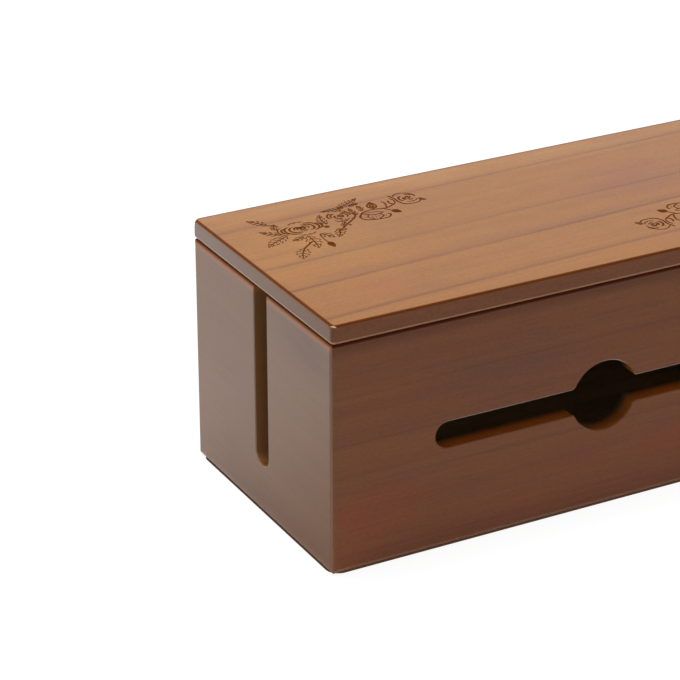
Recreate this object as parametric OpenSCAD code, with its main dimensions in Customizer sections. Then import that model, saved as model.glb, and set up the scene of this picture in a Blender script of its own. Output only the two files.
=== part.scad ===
// Cable management box: mitred wooden carcase with cable openings and a lift-off lid.
// Millimetres. X runs along the length, Y to the back, Z up; the feet stand on Z = 0.

/* [Carcase] */
// Outside length of the walls
box_l = 300; // [220:5:420]
// Outside width of the walls, front to back
box_w = 144; // [110:2:240]
// Overall height, from the feet to the top of the lid
box_h = 130; // [100:1:220]
// Thickness of the four wall boards
wall_t = 10; // [8:0.5:14]
// Rounding of the four upright outer corners
corner_r = 2.2; // [1:0.1:4]
// Rounding of the walls' top outer edge
rim_r = 2.6; // [0.5:0.1:4]
// Rounding of the walls' bottom outer edge
base_r = 2.8; // [0.5:0.1:4]

/* [Front opening] */
// Height of the long slot
slot_h = 13.6; // [8:0.2:22]
// Length of the long slot, end to end
slot_l = 189; // [110:1:204]
// Diameter of the round hole at the slot's middle
hole_d = 36.8; // [28:0.2:50]
// Height of the slot's centre line above the walls' bottom
slot_z = 59.8; // [46:0.2:66]
// Rounding of the four corners where slot and hole meet
junction_r = 3; // [1:0.5:5]

/* [End openings] */
// Width of the cable slot in each end wall
end_slot_w = 13.2; // [8:0.2:22]
// Height of that slot's rounded floor above the walls' bottom
end_slot_floor = 26; // [16:1:50]
// Width of the small bevel that eases every opening's edge
ease = 0.5; // [0.3:0.1:1.2]

/* [Lid] */
// Thickness of the lid board
lid_t = 9.7; // [7:0.1:14]
// How far the lid stands proud of the front and back walls
lid_lap = 0.5; // [0:0.1:3]
// Rounding of the lid's top edge
lid_top_r = 1.2; // [0.5:0.1:2.5]
// Rounding of the lid's lower edge
lid_low_r = 2.2; // [0.5:0.1:3]
// Rounding of the lid's upright corners
lid_corner_r = 2.5; // [1:0.1:4]

/* [Locating strips] */
// Height of the strips under the lid
strip_h = 8; // [5:0.5:12]
// Width of the strips
strip_w = 11; // [8:0.5:16]
// Running clearance between the strips and the walls
strip_gap = 0.7; // [0.3:0.1:1.5]
// Screws in each strip
strip_screws = 3; // [2:1:5]
// Distance of the outermost screws from the strip's ends
strip_screw_inset = 25; // [12:1:40]

/* [Bottom] */
// Thickness of the bottom board
bottom_t = 6; // [4:0.5:9]
// Depth of the rebate in the walls that takes the bottom board
rebate_d = 5; // [3:0.5:6]
// Clearance round the bottom board in its rebate
rebate_gap = 0.2; // [0.1:0.1:0.5]

/* [Corner blocks] */
// Leg of the triangular glue block in each inside corner
block_leg = 15; // [12:0.5:20]
// Distance kept between the blocks and the lid's strips
block_drop = 6; // [2:1:20]

/* [Screws] */
// Shank diameter of the wood screws
screw_d = 3; // [2.5:0.1:4]
// Head diameter of the wood screws
screw_head_d = 5.6; // [5:0.1:6.4]
// Length of the screws that hold the strips
strip_screw_l = 14; // [11:0.5:16]
// Length of the screws that hold the bottom board
bottom_screw_l = 18; // [12:1:30]

/* [Feet] */
// Diameter of the rubber pads
foot_d = 14; // [8:1:20]
// Thickness of the rubber pads
foot_t = 1.5; // [1:0.1:2.5]
// Depth of the pocket in the bottom board that holds each pad
foot_pocket = 1; // [0.5:0.1:1.5]
// Distance of the pads' centres from the outside faces
foot_inset = 34; // [30:1:50]

/* [Hidden] */
$fn = 64;
past = 1;                                  // how far a cutter runs beyond the face that it opens
junction_bite = 0.1;                       // how far a junction's rounding reaches into the opening
lid_wood = "#b0805e";
wall_wood = "#87583e";
strip_wood = "#b98d66";
bottom_wood = "#9a6f4e";
screw_steel = "#c9c3b4";
rubber = "#221e1b";

stand = foot_t - foot_pocket;              // daylight under the walls
rim_z = box_h - lid_t;                     // top of the walls, underside of the lid
wall_h = rim_z - stand;
inner_l = box_l - 2 * wall_t;
inner_w = box_w - 2 * wall_t;
floor_z = stand + bottom_t;                // upper face of the bottom board
lid_w = box_w + 2 * lid_lap;
strip_l = inner_l - 2 * strip_gap;
strip_y = inner_w / 2 - strip_gap - strip_w / 2;
block_top = rim_z - strip_h - block_drop;
block_screw = block_leg * 0.34;            // screw centre, measured from each leg of a block
head_h = (screw_head_d - screw_d) / 2;     // a 90 degree countersink
tip_h = screw_d;                           // pointed end of a wood screw

// Everything that an outside corner of radius r takes off a square edge at the origin.
module edge_waste(r) {
    difference() {
        translate([-past, -past]) square(r + past);
        translate([r, r]) circle(r);
    }
}

// Rectangle on the positive axes with its two corners at x = 0 rounded.
module eased_board_profile(t, h, r_low, r_high) {
    difference() {
        square([t, h]);
        edge_waste(r_low);
        translate([0, h]) mirror([0, 1]) edge_waste(r_high);
    }
}

module rounded_rectangle(l, w, r) {
    square([l - 2 * r, w], center = true);
    square([l, w - 2 * r], center = true);
    for (x = [-1, 1], y = [-1, 1]) translate([x * (l / 2 - r), y * (w / 2 - r)]) circle(r);
}

// One wall board of outer length l, its outer face on y = 0 and its top and bottom edges
// eased, with both ends mitred at 45 degrees and the outer corners' rounding.
module mitred_board(l) {
    intersection() {
        linear_extrude(wall_h) intersection() {
            translate([0, l / 2]) rounded_rectangle(l, l, corner_r);
            polygon([[-l / 2 - past, -past], [l / 2 + past, -past],
                     [l / 2 - wall_t, wall_t], [wall_t - l / 2, wall_t]]);
        }
        translate([-l / 2 - past, 0, 0]) rotate([90, 0, 90])
            linear_extrude(l + 2 * past) eased_board_profile(wall_t, wall_h, base_r, rim_r);
    }
}

// Rebate along the inside of a wall board's lower edge.
module rebate_cut(l) {
    translate([-l / 2, wall_t - rebate_d, -past]) cube([l, rebate_d + past, bottom_t + past]);
}

module wall_board(l) {
    difference() {
        mitred_board(l);
        rebate_cut(l);
    }
}

// Straight-sided bevel cutter along a slot of half height r, lying on the outer face.
module bevel_bar(l, r) {
    translate([-l / 2, 0, 0]) rotate([90, 0, 90]) linear_extrude(l)
        polygon([[-past, -r - ease - past], [ease, -r], [ease, r], [-past, r + ease + past]]);
}

// Bevel cutter round a hole of radius r, lying on the outer face.
module bevel_cone(r) {
    translate([0, -past, 0]) rotate([-90, 0, 0])
        cylinder(r1 = r + ease + past, r2 = r, h = ease + past);
}

module through_hole(r) {
    translate([0, -past, 0]) rotate([-90, 0, 0]) cylinder(r = r, h = wall_t + 2 * past);
}

// Wood taken off the sharp corner between the slot's upper edge and the hole, on the right.
// The rounding's centre sits a hair towards the corner, so that its arc crosses both edges.
module junction_cut() {
    hole_r = hole_d / 2;
    arc_z = slot_h / 2 + junction_r - junction_bite;
    arc_x = sqrt(pow(hole_r + junction_r - junction_bite, 2) - pow(arc_z, 2));
    difference() {
        rotate([90, 0, 0]) translate([0, 0, -wall_t - past]) linear_extrude(wall_t + 2 * past)
            polygon([[arc_x, arc_z], [0, 0], [arc_x, 0]]);
        translate([arc_x, ease, arc_z]) rotate([-90, 0, 0])
            cylinder(r = junction_r, h = wall_t + past);
        translate([arc_x, -past, arc_z]) rotate([-90, 0, 0])
            cylinder(r1 = junction_r - ease - past, r2 = junction_r, h = ease + past);
    }
}

// Long slot with round ends that runs through a round hole, every outer edge eased.
module slot_and_hole_cut() {
    straight = slot_l - slot_h;
    translate([-straight / 2, -past, -slot_h / 2])
        cube([straight, wall_t + 2 * past, slot_h]);
    bevel_bar(straight, slot_h / 2);
    for (side = [-1, 1]) translate([side * straight / 2, 0, 0]) {
        through_hole(slot_h / 2);
        bevel_cone(slot_h / 2);
    }
    through_hole(hole_d / 2);
    bevel_cone(hole_d / 2);
    for (x = [0, 1], z = [0, 1]) mirror([x, 0, 0]) mirror([0, 0, z]) junction_cut();
}

// Slot that is open at the wall's top edge and round at its floor.
module end_slot_cut() {
    r = end_slot_w / 2;
    straight = wall_h - end_slot_floor - r + past;
    translate([0, 0, end_slot_floor + r]) {
        through_hole(r);
        bevel_cone(r);
        translate([-r, -past, 0]) cube([end_slot_w, wall_t + 2 * past, straight]);
        translate([0, 0, straight / 2]) rotate([0, 90, 0]) bevel_bar(straight, r);
    }
}

module front_place() { translate([0, -box_w / 2, stand]) children(); }
module back_place() { rotate([0, 0, 180]) front_place() children(); }
module left_place() { translate([-box_l / 2, 0, stand]) rotate([0, 0, -90]) children(); }
module right_place() { rotate([0, 0, 180]) left_place() children(); }

module front_panel() {
    color(wall_wood) front_place() difference() {
        wall_board(box_l);
        translate([0, 0, slot_z]) slot_and_hole_cut();
    }
}

module back_panel() {
    color(wall_wood) back_place() wall_board(box_l);
}

module end_panel() {
    difference() {
        wall_board(box_w);
        end_slot_cut();
    }
}

module left_end_panel() { color(wall_wood) left_place() end_panel(); }
module right_end_panel() { color(wall_wood) right_place() end_panel(); }

// Countersunk wood screw: flat head at z = 0, shank upwards.
module wood_screw(l) {
    slot = [screw_head_d * 0.55, screw_d * 0.22, head_h * 1.2];
    difference() {
        union() {
            cylinder(d1 = screw_head_d, d2 = screw_d, h = head_h);
            cylinder(d = screw_d, h = l - tip_h);
            translate([0, 0, l - tip_h]) cylinder(d1 = screw_d, d2 = screw_d * 0.15, h = tip_h);
        }
        for (a = [0, 90]) rotate(a) cube(slot, center = true);
    }
}

// The hole that such a screw fills, open below the head.
module screw_hole(l) {
    translate([0, 0, -past]) cylinder(d = screw_head_d, h = past);
    cylinder(d1 = screw_head_d, d2 = screw_d, h = head_h);
    cylinder(d = screw_d, h = l - tip_h);
    translate([0, 0, l - tip_h]) cylinder(d1 = screw_d, d2 = screw_d * 0.15, h = tip_h);
}

module at_strip_screws(y) {
    reach = strip_l / 2 - strip_screw_inset;
    for (i = [0 : strip_screws - 1])
        translate([-reach + 2 * reach * i / (strip_screws - 1), y, rim_z - strip_h]) children();
}

module at_block_screws() {
    for (x = [-1, 1], y = [-1, 1])
        translate([x * (inner_l / 2 - block_screw), y * (inner_w / 2 - block_screw), stand])
            children();
}

module lid_board() {
    color(lid_wood) difference() {
        intersection() {
            translate([0, 0, rim_z]) linear_extrude(lid_t)
                rounded_rectangle(box_l, lid_w, lid_corner_r);
            translate([-box_l / 2 - past, 0, rim_z]) rotate([90, 0, 90])
                linear_extrude(box_l + 2 * past) lid_profile(lid_w);
            translate([0, lid_w / 2 + past, rim_z]) rotate([90, 0, 0])
                linear_extrude(lid_w + 2 * past) lid_profile(box_l);
        }
        for (side = [-1, 1]) at_strip_screws(side * strip_y) screw_hole(strip_screw_l);
    }
}

// Cross-section of the lid board, w wide, with both pairs of edges rounded.
module lid_profile(w) {
    difference() {
        translate([-w / 2, 0]) square([w, lid_t]);
        for (side = [0, 1]) mirror([side, 0]) translate([-w / 2, 0]) {
            edge_waste(lid_low_r);
            translate([0, lid_t]) mirror([0, 1]) edge_waste(lid_top_r);
        }
    }
}

// Strip under the lid that keeps it between the walls, its lower edges bevelled to lead in.
module strip(side) {
    lead = strip_w * 0.15;
    color(strip_wood) difference() {
        translate([-strip_l / 2, side * strip_y, rim_z]) rotate([90, 0, 90])
            linear_extrude(strip_l) polygon([
                [-strip_w / 2, 0], [strip_w / 2, 0], [strip_w / 2, lead - strip_h],
                [strip_w / 2 - lead, -strip_h], [lead - strip_w / 2, -strip_h],
                [-strip_w / 2, lead - strip_h]]);
        at_strip_screws(side * strip_y) screw_hole(strip_screw_l);
    }
}

module strip_front() { strip(-1); }
module strip_back() { strip(1); }

module strip_screws() {
    color(screw_steel) for (side = [-1, 1]) at_strip_screws(side * strip_y)
        wood_screw(strip_screw_l);
}

module bottom_panel() {
    l = inner_l + 2 * (rebate_d - rebate_gap);
    w = inner_w + 2 * (rebate_d - rebate_gap);
    color(bottom_wood) difference() {
        translate([-l / 2, -w / 2, stand]) cube([l, w, bottom_t]);
        at_block_screws() screw_hole(bottom_screw_l);
        for (x = [-1, 1], y = [-1, 1]) foot_place(x, y)
            translate([0, 0, stand - past]) cylinder(d = foot_d, h = foot_pocket + past);
    }
}

// Three-cornered glue block in an inside corner; x and y are the corner's signs.
module corner_block(x, y) {
    color(strip_wood) difference() {
        translate([x * inner_l / 2, y * inner_w / 2, floor_z]) scale([x, y, 1])
            linear_extrude(block_top - floor_z)
                polygon([[0, 0], [-block_leg, 0], [0, -block_leg]]);
        at_block_screws() screw_hole(bottom_screw_l);
    }
}

module corner_block_front_left() { corner_block(-1, -1); }
module corner_block_front_right() { corner_block(1, -1); }
module corner_block_back_left() { corner_block(-1, 1); }
module corner_block_back_right() { corner_block(1, 1); }

module bottom_screws() {
    color(screw_steel) at_block_screws() wood_screw(bottom_screw_l);
}

module foot_place(x, y) {
    translate([x * (box_l / 2 - foot_inset), y * (box_w / 2 - foot_inset), 0]) children();
}

module foot(x, y) {
    color(rubber) foot_place(x, y) cylinder(d = foot_d, h = foot_t);
}

module foot_front_left() { foot(-1, -1); }
module foot_front_right() { foot(1, -1); }
module foot_back_left() { foot(-1, 1); }
module foot_back_right() { foot(1, 1); }

lid_board();
strip_front();
strip_back();
strip_screws();
front_panel();
back_panel();
left_end_panel();
right_end_panel();
bottom_panel();
corner_block_front_left();
corner_block_front_right();
corner_block_back_left();
corner_block_back_right();
bottom_screws();
foot_front_left();
foot_front_right();
foot_back_left();
foot_back_right();
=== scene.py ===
import math

import bpy
from mathutils import Euler, Matrix, Vector
from mathutils.geometry import delaunay_2d_cdt


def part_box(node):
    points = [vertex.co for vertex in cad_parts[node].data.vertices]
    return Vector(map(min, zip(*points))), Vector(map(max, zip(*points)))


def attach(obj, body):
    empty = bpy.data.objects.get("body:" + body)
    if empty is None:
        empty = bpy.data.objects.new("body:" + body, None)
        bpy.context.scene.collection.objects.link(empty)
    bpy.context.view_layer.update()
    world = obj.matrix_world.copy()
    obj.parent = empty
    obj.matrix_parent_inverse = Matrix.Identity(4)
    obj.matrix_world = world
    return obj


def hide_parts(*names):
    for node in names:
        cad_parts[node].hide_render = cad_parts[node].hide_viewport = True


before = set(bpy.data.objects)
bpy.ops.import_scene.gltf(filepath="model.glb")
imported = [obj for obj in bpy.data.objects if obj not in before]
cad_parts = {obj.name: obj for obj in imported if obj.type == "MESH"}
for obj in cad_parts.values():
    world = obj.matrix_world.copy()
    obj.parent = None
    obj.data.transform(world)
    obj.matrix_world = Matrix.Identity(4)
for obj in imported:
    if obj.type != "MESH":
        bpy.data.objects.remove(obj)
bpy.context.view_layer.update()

MM = 0.001

# ---------------- camera and light

CAMERA_PLACE = (-0.6985, -1.0978, 0.6679)     # metres
CAMERA_AZIMUTH = 28.323          # degrees from +Y towards +X
CAMERA_ELEVATION = 25.082        # degrees looking down
CAMERA_ROLL = 0.128
LENS = 150.34                    # mm on a 36 mm square sensor
SENSOR = 36.0

KEY_DIRECTION = (-0.14, 0.12, 0.98)     # from the box to the large soft lamp, nearly overhead
KEY_DISTANCE = 1.6               # metres
KEY_SIZE = 0.75                  # metres across
KEY_POWER = 26.1                 # watts

FLOOR_SIZE = 8.0                 # metres
FLOOR_WHITE = 0.93               # the floor's own white for the camera
FLOOR_GREY = 0.15                # the part of it that shows the shadow
UNDER_BOX_PAINTED_SHADOW = "4A3222"             # painted shadow under the box, brown as if lit from the wood round it
FLOOR_BOUNCE = 0.68              # how much of the lamp's light the floor throws up at the box
FLOOR_SHINE_FRONT = 0.31         # how bright the floor mirrors in the lacquer in front of the box
FLOOR_SHINE_BACK = 0.83          # and behind it
FLOOR_SHINE_FROM = -0.08         # metres to the back at which that change begins
FLOOR_SHINE_TO = 0.15            # and ends
SHADE_INSET = (0.0, 0.0012, 0)   # how far in from the end and the front the painted shadow under it begins
SHADE_ROUND = 0.007              # how much that dark is rounded at its corners
SHADE_REACH = 0.0012             # how far out from there that painted shadow still mirrors in the walls
WORLD_WHITE = 1.0                # the room as the camera sees it
WORLD_AMBIENT = 0.12             # and as it lights the box
WALL_SHINE_LOW = 0.66            # the pale wall round the room, as it mirrors in the lacquer
WALL_SHINE_HIGH = 0.12           # and the same above it
WALL_FROM = 0.33                 # sine of the height at which the wall begins to darken
WALL_TO = 0.50                   # and of the height at which it is dark
WALL_LEFT_SHARE = 0.3            # what is left of the wall's shine at the dim left side
WALL_LEFT_FROM = -0.45           # sideways part of the direction in which it is dimmest
WALL_LEFT_TO = 0.05              # and of the one from which on it is full


SMOOTH = {"interpolation_type": "SMOOTHSTEP"}     # makes a Map Range node ease in and out
RGBA = {"data_type": "RGBA"}                      # makes a Mix node mix colours


def linear(hex_colour):
    """Linear RGBA of an sRGB colour written as RRGGBB."""
    channels = [int(hex_colour[i:i + 2], 16) / 255 for i in (0, 2, 4)]
    return [c / 12.92 if c <= 0.04045 else ((c + 0.055) / 1.055) ** 2.4 for c in channels] + [1.0]


def node(tree, kind, inputs=None, stops=(), **settings):
    """Adds a shader node. An input takes a value, a socket, or a node for its first output."""
    made = tree.nodes.new("ShaderNode" + kind)
    for name, value in settings.items():
        setattr(made, name, value)
    sockets = [socket for socket in made.inputs if socket.enabled]
    for key, value in (inputs or {}).items():
        socket = sockets[key] if isinstance(key, int) else next(s for s in sockets if s.name == key)
        if isinstance(value, bpy.types.Node):
            value = next(s for s in value.outputs if s.enabled)
        if isinstance(value, bpy.types.NodeSocket):
            tree.links.new(value, socket)
        else:
            socket.default_value = value
    for i, (place, colour) in enumerate(stops):
        ramp = made.color_ramp.elements
        stop = ramp[i] if i < 2 else ramp.new(place)
        stop.position = place
        stop.color = colour
    return made


def place_camera():
    data = bpy.data.cameras.new("camera")
    data.sensor_width = SENSOR
    data.lens = LENS
    camera = bpy.data.objects.new("camera", data)
    level = Euler((math.radians(90 - CAMERA_ELEVATION), 0, math.radians(-CAMERA_AZIMUTH)))
    roll = Matrix.Rotation(math.radians(-CAMERA_ROLL), 3, "Z")
    camera.matrix_world = Matrix.Translation(CAMERA_PLACE) @ (level.to_matrix() @ roll).to_4x4()
    bpy.context.scene.collection.objects.link(camera)
    bpy.context.scene.camera = camera


def soft_lamp():
    """One large soft lamp, kept out of its own mirror image in the lacquer."""
    data = bpy.data.lights.new("key_lamp", "AREA")
    data.shape = "DISK"
    data.size = KEY_SIZE
    data.energy = KEY_POWER
    lamp = bpy.data.objects.new("key_lamp", data)
    direction = Vector(KEY_DIRECTION).normalized()
    turn = direction.to_track_quat("Z", "Y").to_matrix().to_4x4()
    lamp.matrix_world = Matrix.Translation(direction * KEY_DISTANCE) @ turn
    lamp.visible_glossy = False
    bpy.context.scene.collection.objects.link(lamp)


def studio_world():
    """White to the camera, a dim room for the light, and a wall that darkens upwards and leftwards."""
    world = bpy.data.worlds.new("studio")
    world.use_nodes = True
    bpy.context.scene.world = world
    tree = world.node_tree
    tree.nodes.clear()
    ray = node(tree, "LightPath")
    way = node(tree, "TexCoord")
    heading = node(tree, "SeparateXYZ", {0: way.outputs["Generated"]})
    upward = node(tree, "MapRange", {
        0: heading.outputs["Z"], "From Min": WALL_FROM, "From Max": WALL_TO, "To Min": WALL_SHINE_LOW,
        "To Max": WALL_SHINE_HIGH}, **SMOOTH)
    sideways = node(tree, "MapRange", {
        0: heading.outputs["X"], "From Min": WALL_LEFT_FROM, "From Max": WALL_LEFT_TO,
        "To Min": WALL_LEFT_SHARE}, **SMOOTH)
    shine = node(tree, "Math", {0: upward, 1: sideways}, operation="MULTIPLY")
    gloss = node(tree, "Mix", {"Factor": ray.outputs["Is Glossy Ray"], "A": WORLD_AMBIENT, "B": shine})
    seen = node(tree, "Math", {
        0: ray.outputs["Is Camera Ray"], 1: ray.outputs["Is Transmission Ray"]}, operation="MAXIMUM")
    level = node(tree, "Mix", {"Factor": seen, "A": gloss, "B": WORLD_WHITE})
    light = node(tree, "Background", {"Color": (1, 1, 1, 1), "Strength": level})
    node(tree, "OutputWorld", {"Surface": light})


def floor_material():
    """Matt white studio floor: white to the camera with a painted shadow under the box, modest in its
    bounce.
    """
    material, tree = new_material("matt_white_floor")
    ray = node(tree, "LightPath")
    spot = node(tree, "NewGeometry")
    depth = node(tree, "SeparateXYZ", {0: spot.outputs["Position"]})

    # How far a spot lies outside the painted shadow under the box; inside it this is below zero.
    low, high = (Vector(c) for c in (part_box("front_panel")[0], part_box("back_panel")[1]))
    dark_half = (high - low) / 2 - Vector(SHADE_INSET) - Vector((SHADE_ROUND, SHADE_ROUND, 0))
    from_middle = node(tree, "VectorMath", {
        0: spot.outputs["Position"], 1: (low + high) / 2}, operation="SUBTRACT")
    away = node(tree, "VectorMath", {0: from_middle}, operation="ABSOLUTE")
    past = node(tree, "VectorMath", {0: away, 1: dark_half}, operation="SUBTRACT")
    outer = node(tree, "VectorMath", {0: past, 1: (0, 0, 0)}, operation="MAXIMUM")
    distance = node(tree, "VectorMath", {0: outer}, operation="LENGTH")
    beyond = node(tree, "Math", {0: distance, 1: SHADE_ROUND}, operation="SUBTRACT")
    open_floor = node(tree, "Math", {0: beyond, 1: 0.0}, operation="GREATER_THAN")
    # Near the box the floor's mirror image in the walls is darkened: painted shadow.
    clear = node(tree, "MapRange", {0: beyond, "From Max": SHADE_REACH}, **SMOOTH)

    shine = node(tree, "MapRange", {
        0: depth.outputs["Y"], "From Min": FLOOR_SHINE_FROM, "From Max": FLOOR_SHINE_TO,
        "To Min": FLOOR_SHINE_FRONT, "To Max": FLOOR_SHINE_BACK}, **SMOOTH)
    shine_clear = node(tree, "Math", {0: shine, 1: clear}, operation="MULTIPLY")
    mirrored = node(tree, "Emission", {"Strength": shine_clear})
    grey = node(tree, "BsdfDiffuse", {"Color": (FLOOR_GREY,) * 3 + (1,)})
    # Under the box the camera sees the painted shadow's brown instead of white.
    tone = node(tree, "Mix", {
        "Factor": open_floor, "A": linear(UNDER_BOX_PAINTED_SHADOW), "B": (FLOOR_WHITE,) * 3 + (1,)}, **RGBA)
    white = node(tree, "Emission", {"Color": tone})
    seen = node(tree, "AddShader", {0: grey, 1: white})
    bounce = node(tree, "BsdfDiffuse", {"Color": (FLOOR_BOUNCE,) * 3 + (1,)})
    camera = node(tree, "Math", {
        0: ray.outputs["Is Camera Ray"], 1: ray.outputs["Is Transmission Ray"]}, operation="MAXIMUM")
    unseen = node(tree, "MixShader", {0: ray.outputs["Is Glossy Ray"], 1: bounce, 2: mirrored})
    both = node(tree, "MixShader", {0: camera, 1: unseen, 2: seen})
    node(tree, "OutputMaterial", {"Surface": both})
    return material


def lay_floor():
    half = FLOOR_SIZE / 2
    mesh = bpy.data.meshes.new("floor")
    mesh.from_pydata([(-half, -half, 0), (half, -half, 0), (half, half, 0), (-half, half, 0)], [],
                     [(0, 1, 2, 3)])
    mesh.materials.append(floor_material())
    floor = bpy.data.objects.new("floor", mesh)
    bpy.context.scene.collection.objects.link(floor)


# ---------------- materials

# Marks in the grain, each (length, width) in mm and how much finer detail it has.
# The real pores are about 0.1 mm wide; they are drawn at 0.4 mm so that they show.
GRAIN = dict(band=(260, 11, 2.0), blotch=(60, 16, 2.0), cloud=(16, 9, 2.0), breaks=(70, 9, 3.0),
             hair=(420, 7, 0.0), streak=(45, 0.8, 3.0), lane=(120, 2.6, 2.0), fleck=(2.2, 1.1, 2.0),
             pore=(6, 0.42, 2.0))
# Sizes of the patterns in the other finishes, in mm.
CHAR_SIZE = (4.0, 0.625, 0.625)
ZINC_CLOUDS = 1.43
ZINC_GRIT = 0.167
RUBBER_GRAIN = 0.303
RUBBER_DUST = 6.25

RIPPLE_DETAIL = 1.5              # finer detail in the waves of the growth lines

# A growth line across the grain: offset in mm and share of its full darkness.
VEIN_SHAPE = ((-2.0, 0.0), (-1.1, 1.0), (-0.4, 0.8), (0.5, 0.4))
VEIN_MARGIN = 20.0               # mm left plain beyond the outermost growth lines
VEIN_LEAST = 0.6                 # what is left of a growth line where it nearly breaks off
STAIN_LEAST = 0.45               # and of a stain, at its broken border
LINE_CORE = 0.25             # share of its reach over which such a line is at its full strength
DRY_REACH = 3.0                  # lines narrower than this, the painted shade in the creases, hold no lacquer
PALE_CORE = 0.4                  # share of its depth over which the painted light on a lower edge is at its strongest
END_LEAN = -0.3                  # how much later the dark edge line begins over end grain
RIDGE_SHARE = 0.35               # height of the grain's ridges against the depth of its pores
ROUGH_SWING = 0.05               # how far the roughness swings to either side
WOOD_IOR = 1.5                   # of the bare surface, and of the lacquer on it

# Where each soft change begins and where it ends.
FADE_SPANS = dict(
    # by the level of a mark in the grain
    band=(0.36, 0.64),
    cloud=(0.42, 0.68),
    blotch=(0.35, 0.6),
    breaks=(0.3, 0.62),
    hair=(0.0, 0.035),
    pore=(0.58, 0.72),
    rough=(0.3, 0.7),
    # by the distance from a stain's middle, as a share of its size
    stain=(0.1, 1.0),
    # by how squarely the surface faces along the grain
    long_grain=(0.8, 0.4),
    toward_end=(0.1, 0.5),
    crosswise=(0.15, 0.45),
    # by how squarely it faces through the board
    sawn=(0.6, 0.25),
    turned=(0.55, 0.7),
    slanting=(0.99, 0.88),
    square=(0.9, 0.99),
    # by how far it faces up
    falling=(-0.03, -0.25),
    slope=(-0.75, -0.95),
    rising=(0.1, 0.45),
    # by the depth in the board, in mm
    skin=(0.4, 1.0),
    shade_further_in=(3.0, 10.0),
    inmost=(9.2, 9.6),
    # by the distance from the board's edge, in mm
    edge_line=(1.9, 1.2),
    tip=(2.95, 2.7))
FADES = {name: {"From Min": start, "From Max": end} for name, (start, end) in FADE_SPANS.items()}


def new_material(name):
    material = bpy.data.materials.new(name)
    material.use_nodes = True
    material.node_tree.nodes.clear()
    return material, material.node_tree


def board_measures(tree, grain, corner):
    """Where a spot lies on its board, in mm from the corner, and how squarely it faces."""
    spot = node(tree, "TexCoord")
    from_corner = node(tree, "VectorMath", {0: spot.outputs["Object"], 1: corner}, operation="SUBTRACT")
    measured = node(tree, "VectorMath", {0: from_corner, "Scale": 1 / MM}, operation="SCALE")
    axes = node(tree, "SeparateXYZ", {0: measured})
    board = node(tree, "CombineXYZ", {i: axes.outputs[axis] for i, axis in enumerate(grain)})
    ways = node(tree, "SeparateXYZ", {0: board})
    normal = node(tree, "SeparateXYZ", {0: spot.outputs["Normal"]})
    return {
        "board": board,
        "ways": ways.outputs,
        "deep": node(tree, "Math", {0: ways.outputs["Z"]}, operation="ABSOLUTE"),
        "endwise": node(tree, "Math", {0: normal.outputs[grain[0]]}, operation="ABSOLUTE"),
        "facewise": node(tree, "Math", {0: normal.outputs[grain[2]]}, operation="ABSOLUTE"),
        "upward": normal.outputs["Z"],
    }


def growth(tree, look, on):
    """The growth lines run askew, dip into the board, fan out along it and wave a little."""
    along, across, through = on["ways"]
    lean = node(tree, "VectorMath", {
        0: on["board"], 1: (-look["askew"], 1.0, look["tilt"])}, operation="DOT_PRODUCT")
    fan = node(tree, "Math", {0: along, 1: across}, operation="MULTIPLY")
    ring = node(tree, "Math", {0: fan, 1: look["fan"], 2: lean}, operation="MULTIPLY_ADD")
    for length, width, wave in look["waves"]:
        scaled = node(tree, "VectorMath", {
            0: on["board"], 1: (1 / length, 1 / width, 1 / width)}, operation="MULTIPLY")
        ripple = node(tree, "TexNoise", {"Vector": scaled, "Scale": 1.0, "Detail": RIPPLE_DETAIL})
        swing = node(tree, "Math", {0: ripple, 1: wave, 2: -0.5 * wave}, operation="MULTIPLY_ADD")
        ring = node(tree, "Math", {0: ring, 1: swing}, operation="ADD")
    flow = node(tree, "CombineXYZ", {0: along, 1: ring, 2: through})

    marks = {}
    for mark, (length, width, detail) in GRAIN.items():
        scaled = node(tree, "VectorMath", {
            0: flow, 1: (1 / length, 1 / width, 1 / width)}, operation="MULTIPLY")
        marks[mark] = node(tree, "TexNoise", {"Vector": scaled, "Scale": 1.0, "Detail": detail})
    return ring, marks


def bands_and_clouds(tree, look, marks):
    """Broad bands between two close tones, with small clouds of a third."""
    band = node(tree, "MapRange", {0: marks["band"], **FADES["band"]}, **SMOOTH)
    colour = node(tree, "Mix", {
        "Factor": band, "A": linear(look["light"]), "B": linear(look["deep"])}, **RGBA)
    cloud = node(tree, "MapRange", {
        0: marks["cloud"], **FADES["cloud"], "To Max": look["clouds"]}, **SMOOTH)
    return node(tree, "Mix", {"Factor": cloud, "A": colour, "B": linear(look["cloud_tint"])}, **RGBA)


def stains_and_shade(tree, look, on, marks, colour):
    """Soft stains in the wood and patches of painted shade, each an oval with a broken border."""
    blotch = node(tree, "MapRange", {0: marks["blotch"], **FADES["blotch"]}, **SMOOTH)
    for x, y, half_x, half_y, tint, amount in look["stains_and_shade"]:
        off = node(tree, "VectorMath", {0: on["board"], 1: (x, y, 0)}, operation="SUBTRACT")
        share = node(tree, "VectorMath", {0: off, 1: (1 / half_x, 1 / half_y, 0)}, operation="MULTIPLY")
        far = node(tree, "VectorMath", {0: share}, operation="LENGTH")
        near = node(tree, "MapRange", {
            0: far, **FADES["stain"], "To Min": amount, "To Max": 0.0}, **SMOOTH)
        broken = node(tree, "MapRange", {0: blotch, "To Min": STAIN_LEAST})
        part = node(tree, "Math", {0: near, 1: broken}, operation="MULTIPLY")
        colour = node(tree, "Mix", {"Factor": part, "A": colour, "B": linear(tint)}, **RGBA)
    return colour


def vein_stops(look):
    """The growth lines as stops of a ramp, and the stretch across the grain that it spans."""
    low = min(vein[0] for vein in look["veins"]) - VEIN_MARGIN
    high = max(vein[0] for vein in look["veins"]) + VEIN_MARGIN
    stops = [(0.0, (0, 0, 0, 1)), (1.0, (0, 0, 0, 1))]
    for place, depth, halo in sorted(look["veins"]):
        for offset, amount in VEIN_SHAPE + ((halo, 0.0),):
            spot = place + offset * look["vein_wide"]
            stops.append(((spot - low) / (high - low), (depth * amount,) * 3 + (1,)))
    return low, high, stops


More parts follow.
